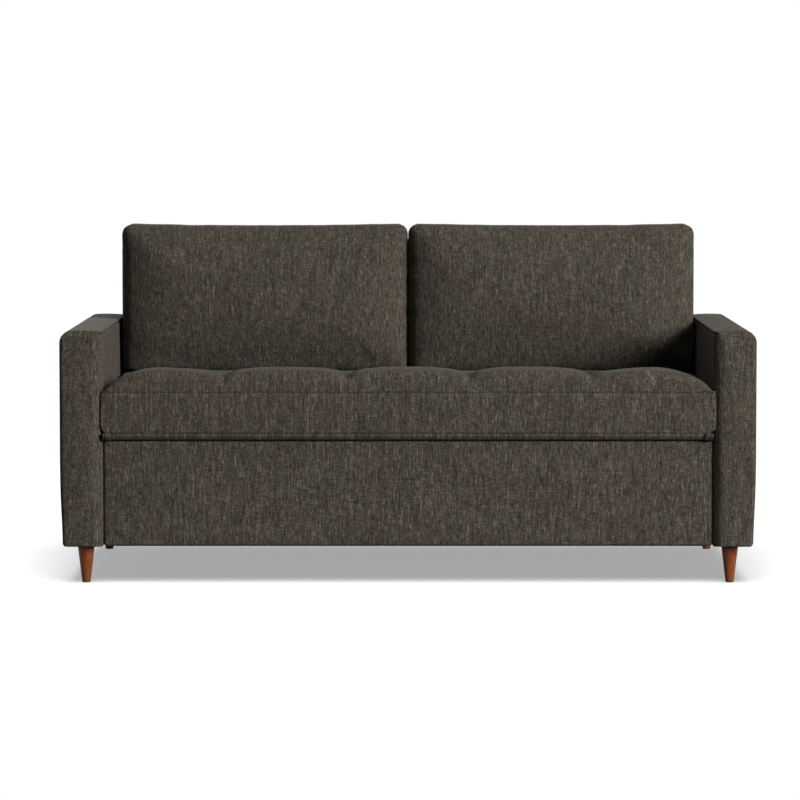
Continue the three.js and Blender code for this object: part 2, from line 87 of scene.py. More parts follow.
def places(low, high, radius, zones=(0.0, 0.0), stops=(), step=WIDE_STEP):
    """Places along one side of a box: close together at its ends and near the stops."""
    turns = [radius * (1 - tan(pi / 4 * (1 - i / ROUND_TURNS))) for i in range(ROUND_TURNS + 1)]
    near = [low + t for t in turns] + [high - t for t in turns]
    for start, end in ((low + radius, low + zones[0]), (high - zones[1], high - radius)):
        if end > start:
            near += list(np.linspace(start, end, max(2, round((end - start) / FINE_STEP) + 1)))
    for stop in stops:
        near += [stop + FINE_STEP * offset for offset in STOP_OFFSETS]
    near = sorted(near)
    result = [near[0]]
    for place in near[1:]:
        gap = place - result[-1]
        if gap < FINE_STEP * LEAST_GAP:
            continue
        count = max(1, round(gap / step))
        result += [result[-1] + gap * (i + 1) / count for i in range(count)]
    result[-1] = high
    return np.array(result)


def grid_faces(ids):
    """Quads over the six sides of a box of numbered grid points, facing outwards."""
    sides = [
        (ids[0, :, :].T, False), (ids[-1, :, :].T, True),
        (ids[:, 0, :], False), (ids[:, -1, :], True),
        (ids[:, :, 0].T, False), (ids[:, :, -1].T, True),
    ]
    faces = []
    for side, turned in sides:
        quads = [side[:-1, :-1], side[1:, :-1], side[1:, 1:], side[:-1, 1:]]
        if turned:
            quads.reverse()
        faces += np.stack([quad.ravel() for quad in quads], axis=1).tolist()
    return faces


def mesh_object(name, points, faces, material):
    """A smooth piece in the scene, made of points and faces."""
    mesh = bpy.data.meshes.new(name)
    mesh.from_pydata([tuple(point) for point in points], [], faces)
    mesh.validate()
    mesh.shade_smooth()
    mesh.materials.append(material)
    piece = bpy.data.objects.new(name, mesh)
    bpy.context.scene.collection.objects.link(piece)
    return piece


def soft_box(low, high, radius, zones=((0, 0), (0, 0), (0, 0)), stops=((), (), ()), step=WIDE_STEP):
    """Points and faces of a box with round edges, on a grid that is fine near the edges."""
    lines = [places(low[i], high[i], radius, zones[i], stops[i], step) for i in range(3)]
    shape = [len(line) for line in lines]
    outside = np.ones(shape, bool)
    outside[1:-1, 1:-1, 1:-1] = False
    ids = np.full(shape, -1)
    ids[outside] = np.arange(outside.sum())
    cells = np.meshgrid(*lines, indexing="ij")
    points = np.stack([cell[outside] for cell in cells], axis=1)
    core = np.clip(points, np.array(low) + radius, np.array(high) - radius)
    away = points - core
    length = np.linalg.norm(away, axis=1, keepdims=True)
    return core + away * radius / np.maximum(length, TINY), grid_faces(ids)


def round_edge(points, axes, corner, signs, radius):
    """Pulls the box edge that runs along the third axis onto a wider round."""
    a, b = axes
    centre = [corner[i] - signs[i] * radius for i in range(2)]
    away = np.stack([(points[:, a] - centre[0]) * signs[0], (points[:, b] - centre[1]) * signs[1]], 1)
    length = np.linalg.norm(away, axis=1)
    inside = (away[:, 0] > 0) & (away[:, 1] > 0) & (length > radius)
    scale = radius / np.maximum(length, TINY)
    points[inside, a] = centre[0] + signs[0] * (away[:, 0] * scale)[inside]
    points[inside, b] = centre[1] + signs[1] * (away[:, 1] * scale)[inside]


def shares(points, low, high):
    """How far through the box each point lies, from 0 to 1 along each axis."""
    return [(points[:, i] - low[i]) / (high[i] - low[i]) for i in range(3)]


def slab_axes(low, high):
    """The size of the box along each axis, its thinnest axis and the other two."""
    sizes = [high[i] - low[i] for i in range(3)]
    thin = sizes.index(min(sizes))
    return sizes, thin, [i for i in range(3) if i != thin]


def mirrored(points, faces):
    """The same form on the other side of the middle."""
    return points * np.array([-1.0, 1.0, 1.0]), [face[::-1] for face in faces]


def place_on(piece, body, slot, *nodes):
    """The piece rides on the body and stands for the nodes. The slot is not used."""
    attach(piece, body)
    if nodes:
        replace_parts(piece, *nodes)


# Material nodes

FACING_LEAST = 0.7
THREAD_ROUGHNESS = 0.6
SRGB_KNEE = 0.04045
SRGB_SLOPE = 12.92
SRGB_OFFSET = 0.055
SRGB_POWER = 2.4


def new_material(name, roughness, metallic=0.0, specular=0.3):
    """A material with its node tree and its shader."""
    material = bpy.data.materials.new(name)
    material.use_nodes = True
    shader = material.node_tree.nodes["Principled BSDF"]
    shader.inputs["Roughness"].default_value = roughness
    shader.inputs["Metallic"].default_value = metallic
    shader.inputs["Specular IOR Level"].default_value = specular
    return material, material.node_tree, shader


def add(tree, kind, **values):
    """A new node, with its settings given by name and its inputs by name or number."""
    made = tree.nodes.new(kind)
    inputs = values.pop("inputs", {})
    for key, value in values.items():
        setattr(made, key, value)
    for key, value in inputs.items():
        if isinstance(value, bpy.types.NodeSocket):
            tree.links.new(value, made.inputs[key])
        else:
            made.inputs[key].default_value = value
    return made


def maths(tree, operation, *values):
    """One step of arithmetic on sockets and numbers."""
    inputs = dict(enumerate(values))
    return add(tree, "ShaderNodeMath", operation=operation, inputs=inputs).outputs[0]


def mixed(tree, first, second, share):
    """The first value by its share, and the second by the rest."""
    return maths(tree, "MULTIPLY_ADD", second, 1 - share, maths(tree, "MULTIPLY", first, share))


def stretched_noise(tree, coordinates, stretch, detail=2.0, roughness=0.5):
    """Noise with its own number of features per metre along each axis."""
    mapping = add(tree, "ShaderNodeMapping", inputs={"Vector": coordinates, "Scale": stretch})
    inputs = {"Vector": mapping.outputs[0], "Scale": 1.0, "Detail": detail, "Roughness": roughness}
    return add(tree, "ShaderNodeTexNoise", inputs=inputs).outputs["Fac"]


def ramp(tree, factor, stops):
    """Colour ramp from (place, sRGB colour out of 255) stops."""
    made = add(tree, "ShaderNodeValToRGB", inputs={"Fac": factor})
    elements = made.color_ramp.elements
    while len(elements) < len(stops):
        elements.new(1.0)
    for element, (place, colour) in zip(elements, stops):
        element.position = place
        element.color = linear(colour)
    return made.outputs["Color"]


def linear(colour):
    """Linear RGBA of an sRGB colour out of 255."""
    result = []
    for share in (channel / 255 for channel in colour):
        if share <= SRGB_KNEE:
            result.append(share / SRGB_SLOPE)
        else:
            result.append(((share + SRGB_OFFSET) / (1 + SRGB_OFFSET)) ** SRGB_POWER)
    return (*result, 1.0)


def multiply_colours(tree, first, second):
    inputs = {0: 1.0, 6: first, 7: second}
    return add(tree, "ShaderNodeMix", data_type="RGBA", blend_type="MULTIPLY", inputs=inputs).outputs[2]


def mix_vectors(tree, factor, first, second):
    """The first vector where the factor is 0, and the second where it is 1."""
    inputs = {0: factor, 4: first, 5: second}
    return add(tree, "ShaderNodeMix", data_type="VECTOR", inputs=inputs).outputs[1]


def scaled(tree, vector, factors):
    """The vector with each of its parts times its own factor."""
    inputs = {0: vector, 1: factors}
    return add(tree, "ShaderNodeVectorMath", operation="MULTIPLY", inputs=inputs).outputs[0]


def facing(tree, normal, axis):
    """1 where the surface faces along the axis, whichever way, and 0 elsewhere."""
    split = add(tree, "ShaderNodeSeparateXYZ", inputs={0: normal}).outputs[axis]
    return maths(tree, "GREATER_THAN", maths(tree, "ABSOLUTE", split), FACING_LEAST)


def thread_noise(tree, ahead, aside, detail):
    """Noise stretched one way on the front, rear, top and bottom, and another way on the sides."""
    place = add(tree, "ShaderNodeTexCoord").outputs
    point, on_side = place["Object"], facing(tree, place["Normal"], 0)
    vector = mix_vectors(tree, on_side, scaled(tree, point, ahead), scaled(tree, point, aside))
    inputs = {"Vector": vector, "Scale": 1.0, "Detail": detail, "Roughness": THREAD_ROUGHNESS}
    return add(tree, "ShaderNodeTexNoise", inputs=inputs).outputs["Fac"]


def warp(tree, across, along, detail):
    """Threads that run up the walls, and to the rear on top."""
    return thread_noise(tree, (across, along, along), (along, across, along), detail)


def weft(tree, across, along, detail):
    """Threads that run level round the walls, and from side to side on top."""
    return thread_noise(tree, (along, across, across), (across, along, across), detail)


def threads(tree, across, along, detail):
    """Noise of the threads both ways, with so many features per metre across and along them."""
    return warp(tree, across, along, detail), weft(tree, across, along, detail)


def connect_bump(tree, shader, height, distance, strength):
    """Fine relief on the surface, with its distance in metres."""
    inputs = {"Height": height, "Distance": distance, "Strength": strength}
    made = add(tree, "ShaderNodeBump", inputs=inputs)
    tree.links.new(made.outputs["Normal"], shader.inputs["Normal"])


# Finishes

# Tones are a place on a ramp and an sRGB colour out of 255, threads and grain are features per metre
SLUBS = (480.0, 65.0)
FINE_THREADS = (900.0, 210.0)
PATCHES = (170.0, 16.0)
FLECKS = (170.0, 170.0, 40.0)
CLOUDS = (9.0, 9.0, 5.0)
SLUB_WARP_SHARE = 0.62
FINE_SHARE = 0.4
CLOUD_SHARE = 0.2
PATCH_DEPTH = 0.16
WEAVE_TONES = (
    (0.35, (28, 26, 22)), (0.46, (59, 55, 48)), (0.54, (75, 70, 62)), (0.65, (116, 109, 98)),
)
WEAVE_TINTS = ((0.38, (243, 250, 242)), (0.5, (250, 250, 250)), (0.62, (255, 245, 240)))

RIBS = (700.0, 120.0)
TICKING_TONES = ((0.35, (160, 155, 144)), (0.5, (184, 180, 169)), (0.65, (202, 198, 188)))

WOOD_PLACES = (0.32, 0.5, 0.68)
PORES_PER_GRAIN = 4
GRAIN_SHARE = 0.7
LEG_COLOURS = ((86, 41, 16), (110, 56, 25), (126, 68, 34))
LEG_GRAIN = (140.0, 140.0, 12.0)
FRAME_COLOURS = ((158, 126, 84), (190, 158, 112), (212, 184, 140))
FRAME_GRAIN = (7.0, 90.0, 90.0)
PLY_COLOURS = ((128, 100, 66), (156, 127, 89), (176, 149, 111))
PLY_GRAIN = (6.0, 60.0, 160.0)

DUST_THREADS = (500.0, 500.0)
DUST_TONES = ((0.4, (18, 18, 19)), (0.7, (40, 40, 42)))

METAL_PLACES = (0.35, 0.65)
METAL_CLOUDS = (9.0, 9.0, 9.0)
METAL_GRIT = (900.0, 900.0, 900.0)
GLOSS_SPREAD = 0.15
PAINT_COLOURS = ((15, 15, 16), (24, 24, 26))
PIN_COLOURS = ((18, 18, 19), (30, 30, 32))


def upholstery_material():
    """Heathered charcoal weave with long upright slubs and fainter threads across."""
    material, tree, shader = new_material("upholstery_weave", roughness=0.9, specular=0.04)
    shader.inputs["Sheen Weight"].default_value = 0.04
    shader.inputs["Sheen Roughness"].default_value = 0.5
    slubs = mixed(tree, *threads(tree, *SLUBS, detail=1.0), SLUB_WARP_SHARE)
    fine = mixed(tree, *threads(tree, *FINE_THREADS, detail=2.0), 0.5)
    tone = mixed(tree, fine, slubs, FINE_SHARE)
    patch = warp(tree, *PATCHES, detail=1.0)
    uneven = maths(tree, "MULTIPLY_ADD", patch, PATCH_DEPTH, -PATCH_DEPTH / 2)
    colour = ramp(tree, maths(tree, "ADD", tone, uneven), WEAVE_TONES)
    point = add(tree, "ShaderNodeTexCoord").outputs["Object"]
    fleck = stretched_noise(tree, point, FLECKS, detail=2.0, roughness=0.7)
    cloud = stretched_noise(tree, point, CLOUDS)
    tint = ramp(tree, mixed(tree, cloud, fleck, CLOUD_SHARE), WEAVE_TINTS)
    tree.links.new(multiply_colours(tree, colour, tint), shader.inputs["Base Color"])
    connect_bump(tree, shader, fine, distance=0.0012, strength=0.6)
    return material


def ticking_material():
    """Pale knitted mattress cloth with fine ribs."""
    material, tree, shader = new_material("mattress_ticking", roughness=0.9, specular=0.05)
    tone = mixed(tree, *threads(tree, *RIBS, detail=1.0), 0.5)
    tree.links.new(ramp(tree, tone, TICKING_TONES), shader.inputs["Base Color"])
    connect_bump(tree, shader, tone, distance=0.0008, strength=0.5)
    return material


def wood_material(name, colours, grain_per_metre, roughness, coat=0.0):
    """Wood with long grain and fine pores."""
    material, tree, shader = new_material(name, roughness, specular=0.15)
    shader.inputs["Coat Weight"].default_value = coat
    shader.inputs["Coat Roughness"].default_value = 0.25
    point = add(tree, "ShaderNodeTexCoord").outputs["Object"]
    grain = stretched_noise(tree, point, grain_per_metre, detail=4.0, roughness=0.65)
    pores_per_metre = tuple(PORES_PER_GRAIN * count for count in grain_per_metre)
    pores = stretched_noise(tree, point, pores_per_metre, detail=1.0)
    tone = mixed(tree, grain, pores, GRAIN_SHARE)
    colour = ramp(tree, tone, list(zip(WOOD_PLACES, colours)))
    tree.links.new(colour, shader.inputs["Base Color"])
    connect_bump(tree, shader, pores, distance=0.0004, strength=0.3)
    return material


def dust_cloth_material():
    """Thin black cloth under the frame."""
    material, tree, shader = new_material("dust_cloth_weave", roughness=0.95, specular=0.1)
    upright, level = threads(tree, *DUST_THREADS, detail=1.0)
    colour = ramp(tree, maths(tree, "MAXIMUM", upright, level), DUST_TONES)
    tree.links.new(colour, shader.inputs["Base Color"])
    connect_bump(tree, shader, upright, distance=0.0006, strength=0.4)
    return material


def metal_material(name, colours, roughness, metallic, bump_height):
    """Metal or paint with cloudy colour and slightly uneven gloss."""
    material, tree, shader = new_material(name, roughness, metallic, specular=0.12)
    point = add(tree, "ShaderNodeTexCoord").outputs["Object"]
    cloud = stretched_noise(tree, point, METAL_CLOUDS, detail=4.0)
    grit = stretched_noise(tree, point, METAL_GRIT, detail=1.0)
    colour = ramp(tree, cloud, list(zip(METAL_PLACES, colours)))
    tree.links.new(colour, shader.inputs["Base Color"])
    gloss = maths(tree, "MULTIPLY_ADD", grit, GLOSS_SPREAD, roughness - GLOSS_SPREAD / 2)
    tree.links.new(gloss, shader.inputs["Roughness"])
    connect_bump(tree, shader, grit, distance=bump_height, strength=0.4)
    return material


MATERIALS = {
    "upholstery": upholstery_material(),
    "ticking": ticking_material(),
    "leg_wood": wood_material("leg_wood_grain", LEG_COLOURS, LEG_GRAIN, roughness=0.45, coat=0.05),
    "frame_wood": wood_material("frame_wood_grain", FRAME_COLOURS, FRAME_GRAIN, roughness=0.7),
    "plywood": wood_material("plywood_grain", PLY_COLOURS, PLY_GRAIN, roughness=0.65),
    "dust_cloth": dust_cloth_material(),
    "painted_steel": metal_material(
        "painted_steel_finish", PAINT_COLOURS, roughness=0.55, metallic=0.0, bump_height=0.0002
    ),
    "pin_steel": metal_material(
        "pin_steel_finish", PIN_COLOURS, roughness=0.45, metallic=0.3, bump_height=0.0001
    ),
}


# CAD nodes

EDGE_BEVELS = {"frame_wood": 0.0012, "plywood": 0.0008, "painted_steel": 0.0006}
BEVEL_SEGMENTS = 2
NODE_SLOTS = {
    "upholstery": ("arm_cover", "back_cover", "back_wing", "front_cover", "seat_band",
                   "seat_cushion", "back_cushion", "back_cap"),
    "ticking": ("mattress",),
    "leg_wood": ("leg_front", "leg_rear"),
    "frame_wood": ("arm_frame", "back_frame", "front_rail", "cross_rail"),
    "plywood": ("seat_deck", "back_panel", "head_deck"),
    "dust_cloth": ("dust_cover",),
    "pin_steel": ("main_pin", "link_pin", "back_pin", "fold_pin", "mid_leg_pin",
                  "foot_leg_pin", "level_pin"),
}


def node_slot(name):
    """The material slot that a CAD node belongs to, by the kind of part its name gives."""
    for slot, starts in NODE_SLOTS.items():
        if name.startswith(starts):
            return slot
    return "painted_steel"


def dress_cad_nodes():
    """Gives each CAD node the finish of its material slot and a fine bevel on hard edges."""
    for name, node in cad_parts.items():
        slot = node_slot(name)
        for place in range(len(node.data.materials)):
            node.material_slots[place].link = "OBJECT"
            node.material_slots[place].material = MATERIALS[slot]
        if slot in EDGE_BEVELS:
            edges = node.modifiers.new("edges", "BEVEL")
            edges.width = EDGE_BEVELS[slot]
            edges.segments = BEVEL_SEGMENTS
            edges.limit_method = "ANGLE"


# Arms

# Rounds of its edges
ARM_TOP_ROUND = 0.030
ARM_EDGE_ROUND = 0.012
ARM_TOP_EDGE_ROUND = 1.4 * ARM_EDGE_ROUND
ARM_FOOT_ROUND = ARM_EDGE_ROUND / 2
ARM_INNER_ROUND = 0.032
ARM_SEAM_ROUND = 0.004

# Swell of its faces, and the taper of its outer side towards the floor
ARM_CROWN = 0.003
ARM_FACE_POWER = 30
ARM_RAISE = 0.004
ARM_RAISED_SHARE = 0.1
ARM_BOTTOM_TAPER = 0.006
ARM_TAPER_HEIGHT = 0.26

# Seam under the top, on the inner face
ARM_SEAM_DROP = 0.006
ARM_SEAM_DEPTH = 0.0045


def arm_points():
    """The padded cover of the arm on the +X side."""
    low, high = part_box("arm_cover_right")
    zone = ARM_TOP_ROUND
    seam_z = high.z - ARM_SEAM_DROP
    points, faces = soft_box(low, high, ARM_SEAM_ROUND, ((zone, zone),) * 3, ((), (), (seam_z,)))
    outward, depth, rise = shares(points, low, high)
    round_edge(points, (0, 2), (high.x, high.z), (1, 1), ARM_TOP_ROUND)
    on_inner_face = points[:, 0] < low.x + ARM_SEAM_ROUND
    groove = ARM_SEAM_DEPTH * bump(points[:, 2] - seam_z, SEAM_WIDTH) * on_inner_face
    for end, side in ((low.y, -1), (high.y, 1)):
        round_edge(points, (1, 2), (end, high.z), (side, 1), ARM_TOP_EDGE_ROUND)
        round_edge(points, (1, 0), (end, high.x), (side, 1), ARM_EDGE_ROUND)
        round_edge(points, (1, 0), (end, low.x), (side, -1), ARM_INNER_ROUND)
        round_edge(points, (1, 2), (end, low.z), (side, -1), ARM_FOOT_ROUND)
    round_edge(points, (0, 2), (high.x, low.z), (1, -1), ARM_EDGE_ROUND)
    taper = ARM_BOTTOM_TAPER * (1 - smooth(rise * (high.z - low.z) / ARM_TAPER_HEIGHT)) ** 2
    points[:, 0] -= taper * outward
    middle = 4 * outward * (1 - outward)
    face = np.clip(2 * np.abs(depth - 0.5), 0, 1) ** ARM_FACE_POWER
    upright = 4 * rise * (1 - rise)
    points[:, 1] -= np.sign(0.5 - depth) * face * ARM_CROWN * (middle * smooth(upright) - 1)
    near_top = smooth(1 - (1 - rise) / ARM_RAISED_SHARE)
    points[:, 2] += near_top * (ARM_CROWN * middle + ARM_RAISE)
    points[:, 0] += groove
    return points, faces


def make_arms():
    """Two padded arms, the left one a mirror image of the right one."""
    points, faces = arm_points()
    for side, shape in (("right", (points, faces)), ("left", mirrored(points, faces))):
        piece = mesh_object(f"arm_padded_{side}", *shape, MATERIALS["upholstery"])
        place_on(piece, "root", "upholstery", f"arm_cover_{side}")


# Front panel, fixed back and its wings

REAR_SEAMS = (-0.27, 0.27)
BOARD_ROUND = 0.008
DOME_POWER = 6
WING_ROUND = 0.004
WING_LAP = 0.012
WING_TAPER = 0.004


def padded_board(name, body, node, radius, crown, lap=0.0, seams=(), taper=0.0):
    """A board under thin padding: round edges, a crown on its large faces and upright seams.

    Lap makes it longer at the rear, and taper draws its outer side in towards the front.
    """
    low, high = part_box(node)
    high.y += lap
    _, thin, flat = slab_axes(low, high)
    points, faces = soft_box(low, high, radius, stops=(seams, (), ()))
    share = shares(points, low, high)
    dome = 1.0
    for i in flat:
        dome = dome * (1 - np.abs(2 * share[i] - 1) ** DOME_POWER)
    sunk = crown * (1 - dome)
    for seam in seams:
        sunk = sunk + SEAM_DEPTH * bump(points[:, 0] - seam, SEAM_WIDTH)
    points[:, thin] -= np.sign(share[thin] - 0.5) * sunk
    outward = np.abs(points[:, 0]) > abs(low.x + high.x) / 2
    points[:, 0] -= taper * np.sign(points[:, 0]) * outward * (1 - share[1])
    piece = mesh_object(name, points, faces, MATERIALS["upholstery"])
    place_on(piece, body, "upholstery", node)


def make_panels():
    """The fixed boards of the front, the rear and the wings, and the roll on top of the back."""
    padded_board("front_panel", "root", "front_cover", BOARD_ROUND, crown=0.0025)
    padded_board("rear_panel", "root", "back_cover", BOARD_ROUND, crown=0.003, seams=REAR_SEAMS)
    padded_board("back_top_roll", "back", "back_cap", BOARD_ROUND, crown=0.002)
    for side in ("left", "right"):
        padded_board(f"back_side_roll_{side}", "root", f"back_wing_{side}", WING_ROUND, crown=0.001,
                     lap=WING_LAP, taper=WING_TAPER)


# Seat

# Box of the cushion
SEAT_FRONT = -0.4675
SEAT_GRID_STEP = 0.008
SEAT_EDGE_ROUND = 0.004
SEAT_TOP_ROUND = 0.016
SEAT_CORNER_ROUND = 0.005

# Crown, from its front shoulder to the slope at its rear
SEAT_FRONT_RISE = 0.042
SEAT_FRONT_SHARE = 0.78
SEAT_SHOULDER = 0.045
SEAT_SQUARENESS = 2.3
SEAT_CROWN = 0.0625
SEAT_SAG = 0.032
SEAT_SAG_START = 0.10
SEAT_SAG_RUN = 0.40
SEAT_REAR_SLOPE = 0.085
SEAT_REAR_FLAT = 0.204
SEAT_REAR_RISE = 0.021
SEAT_UNEVEN = (9.0, 0.0015, 1.0)

# Fall of the crown towards the arms
SEAT_END_FALL = 0.145
SEAT_END_POWER = 0.66
SEAT_END_DROP = 0.88

# Swell of the front, the sides and the front corners
SEAT_BELLY = 0.003
SEAT_BELLY_POWER = 8
SEAT_BELLY_SHARE = 1 / 12
SEAT_SIDE_BULGE = 0.0085
SEAT_SIDE_SHARE = 1 / 8
SEAT_SIDE_LIFT_SHARE = 1 / 12
SEAT_BULGE_FULL = 0.2
SEAT_BULGE_FADE = 0.3
SEAT_CORNER_BULGE = 0.0095
SEAT_CORNER_LOWNESS = 0.6
SEAT_CORNER_START = 0.004
SEAT_CORNER_RUN = 0.016

# Front seam and sewn channels
SEAT_SEAM_Z = 0.510
SEAT_SEAM_DEPTH = 0.0024
SEAT_CHANNELS = (-0.489, -0.163, 0.163, 0.489)
PUFF_POWER = 3.2
CHANNEL_DIP = 0.016
CREASE_DIP = 0.007
CREASE_WIDTH = 0.016


def puff_share(x, half_width):
    """0 on each sewn channel and at the ends, and 1 at the middle of each puff."""
    edges = np.array([-half_width, *SEAT_CHANNELS, half_width])
    place = np.clip(np.searchsorted(edges, x) - 1, 0, len(edges) - 2)
    share = (x - edges[place]) / (edges[place + 1] - edges[place])
    first, last = place == 0, place == len(edges) - 2
    share = np.where(first, 0.5 + share / 2, share)
    share = np.where(last, share / 2, share)
    return 1 - np.abs(2 * np.clip(share, 0, 1) - 1) ** PUFF_POWER


def seat_crown(x, y, low, high):
    """Height of the seat above its front seam."""
    half_width = high.x
    slope_end = high.y - SEAT_REAR_FLAT
    front = np.clip((y - low.y) / SEAT_SHOULDER, 0, 1)
    shoulder = (1 - (1 - front) ** SEAT_SQUARENESS) ** (1 / SEAT_SQUARENESS)
    shoulder = SEAT_FRONT_SHARE + (1 - SEAT_FRONT_SHARE) * shoulder
    back = smooth((y - (slope_end - SEAT_REAR_SLOPE)) / SEAT_REAR_SLOPE)
    sag = SEAT_SAG * smooth((y - low.y - SEAT_SAG_START) / SEAT_SAG_RUN)
    end = np.clip((half_width - np.abs(x)) / SEAT_END_FALL, 0, 1)
    end = (1 - (1 - end) ** 2) ** SEAT_END_POWER
    dip = CHANNEL_DIP * (1 - puff_share(x, half_width))
    for channel in SEAT_CHANNELS:
        dip = dip + CREASE_DIP * bump(x - channel, CREASE_WIDTH)
    puffed = (SEAT_CROWN - sag - dip) * shoulder * end
    return puffed * (1 - back) + SEAT_REAR_RISE * (0.5 + 0.5 * end) * back


def seat_sides(points, low, high):
    """Swells the sides of the seat against the arms and its front corners round them."""
    _, depth, rise = shares(points, low, high)
    along = points[:, 0] / high.x
    belly = np.sin(pi * np.clip(rise, 0, 1))
    low_belly = np.sin(pi * np.clip(rise, 0, 1) ** SEAT_CORNER_LOWNESS)
    outer = np.sign(along) * smooth(1 - (1 - np.abs(along)) / SEAT_SIDE_SHARE)
    near_front = 1 - smooth((depth - SEAT_BULGE_FULL) / SEAT_BULGE_FADE)
    at_corner = 1 - smooth((points[:, 1] - low.y - SEAT_CORNER_START) / SEAT_CORNER_RUN)
    points[:, 0] += SEAT_SIDE_BULGE * outer * near_front * smooth(rise / SEAT_SIDE_LIFT_SHARE)
    points[:, 0] += SEAT_CORNER_BULGE * outer * at_corner * np.sqrt(low_belly)
    front = 1 - smooth(depth / SEAT_BELLY_SHARE)
    points[:, 1] -= SEAT_BELLY * (1 - along ** SEAT_BELLY_POWER) * belly * front


def make_seat_cushion():
    """The bench seat: a boxed cushion with a seam along its front and a crown of puffs."""
    low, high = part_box("seat_cushion")
    low.y = SEAT_FRONT
    high.z = SEAT_SEAM_Z + SEAT_FRONT_RISE
    zones = ((SEAT_CORNER_ROUND, SEAT_CORNER_ROUND), (SEAT_SHOULDER, 0), (0, SEAT_FRONT_RISE))
    stops = (SEAT_CHANNELS, (), (SEAT_SEAM_Z,))
    points, faces = soft_box(low, high, SEAT_EDGE_ROUND, zones, stops, SEAT_GRID_STEP)
    for side, x in ((-1, low.x), (1, high.x)):
        round_edge(points, (1, 0), (low.y, x), (-1, side), SEAT_CORNER_ROUND)
    round_edge(points, (1, 2), (low.y, high.z), (-1, 1), SEAT_TOP_ROUND)
    unswollen_x = points[:, 0].copy()
    seat_sides(points, low, high)
    over_seam = smooth((points[:, 2] - SEAT_SEAM_Z) / SEAT_FRONT_RISE)
    lift = seat_crown(unswollen_x, points[:, 1], low, high) - SEAT_FRONT_RISE
    points[:, 2] += np.maximum(lift, -SEAT_END_DROP * SEAT_FRONT_RISE) * over_seam
    points[:, 2] += ripple(points, *SEAT_UNEVEN) * over_seam
    near_front = 1 - smooth((points[:, 1] - low.y) / SEAT_SHOULDER)
    points[:, 1] += SEAT_SEAM_DEPTH * bump(points[:, 2] - SEAT_SEAM_Z, SEAM_WIDTH) * near_front
    piece = mesh_object("seat_cushion_padded", points, faces, MATERIALS["upholstery"])
    place_on(piece, "seat", "upholstery", "seat_cushion")


# Band under the seat

BAND_FRONT = -0.4692
BAND_TOP_ROUND = 0.003
BAND_LOWER_ROUND = 0.0165
BAND_ROUND_SHARE = 1 / 3
BAND_END = 0.7900
SLEEVE_HALF = 0.0100
SLEEVE_SPAN = (0.7892, 0.8058)
COVER_SPAN = (0.8062, 0.8110)


def roll_piece(name, body, low, high):
    """A stretch of the roll under the front of the seat, whose face turns down and back."""
    zones = ((0, 0), (BAND_LOWER_ROUND, 0), (BAND_LOWER_ROUND, 0))
    radius = min(BAND_TOP_ROUND, BAND_ROUND_SHARE * (high.x - low.x))
    points, faces = soft_box(low, high, radius, zones)
    round_edge(points, (1, 2), (low.y, low.z), (-1, -1), BAND_LOWER_ROUND)
    piece = mesh_object(name, points, faces, MATERIALS["upholstery"])
    place_on(piece, body, "upholstery")
    return piece


def make_seat_band():
    """The roll, the soft ends that wrap its hinges, and the covers of the hinge plates."""
    low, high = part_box("seat_band")
    low, high = Vector((-BAND_END, BAND_FRONT, low.z)), Vector((BAND_END, high.y, high.z))
    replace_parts(roll_piece("seat_front_roll", "seat", low, high), "seat_band")
    for side, sign in (("left", -1), ("right", 1)):
        pivot = sum(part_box(f"main_pin_{side}"), Vector()) / 2
        for name, body, span in (
            ("hinge_sleeve", "seat", SLEEVE_SPAN), ("hinge_cover", "root", COVER_SPAN),
        ):
            ends = sorted(sign * x for x in span)
            low = Vector((ends[0], pivot.y - SLEEVE_HALF, pivot.z - SLEEVE_HALF))
            high = Vector((ends[1], pivot.y + SLEEVE_HALF, pivot.z + SLEEVE_HALF))
            piece = roll_piece(f"{name}_{side}", body, low, high)
            if body == "seat":
                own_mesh(piece)


# Back cushions

# Cloth under air pressure
VOXEL = 0.007
SIMULATED_FRAMES = 20
CLOTH_QUALITY = 5
AIR_PRESSURE = 3.0
CLOTH_GROWTH = 0.05
LARGEST_SWELL = 0.030

# Case before it is stuffed, and how far it may swell
BACK_ROUND = 0.025
BACK_SIDE_INSET = 0.005
BACK_TOP_INSET = 0.002
BACK_FRONT_INSET = 0.022
BACK_REAR_INSET = 0.004
BACK_SINK = 0.010
BACK_SETTLE = 0.003
BACK_OUTER_REACH = 0.002
BACK_OUTER_SWELL = 0.002
BACK_MIDDLE_SWELL = 0.0025
BACK_TOP_RISE = 0.0012

# Sides that turn back, lower edge that tucks in, and uneven top
BACK_PILLOW = 0.018
BACK_PILLOW_POWER = 8
BACK_TUCK = 0.035
BACK_TUCK_POWER = 4
BACK_TOP_START = 0.7
BACK_TOP_SHARE = 0.3
BACK_TOP_SAG = 0.0048
BACK_TOP_UNEVEN = (14.0, 0.0012, 7.0)

# Seam under the top
BACK_SEAM_DROP = 0.014
BACK_SEAM_UNEVEN = (6.0, 0.002, 4.0)
BACK_SEAM_WIDTH = 1.4 * SEAM_WIDTH
ACROSS_ONLY = (1.0, 0.0, 0.0)


def coordinates(mesh):
    """The places of the mesh's points, one row each."""
    flat = np.empty(len(mesh.vertices) * 3)
    mesh.vertices.foreach_get("co", flat)
    return flat.reshape(-1, 3)


def bake_modifiers(piece):
    """Puts the evaluated mesh in the piece's place and clears its modifiers."""
    seen = piece.evaluated_get(bpy.context.evaluated_depsgraph_get())
    made = bpy.data.meshes.new_from_object(seen)
    piece.modifiers.clear()
    piece.data = made


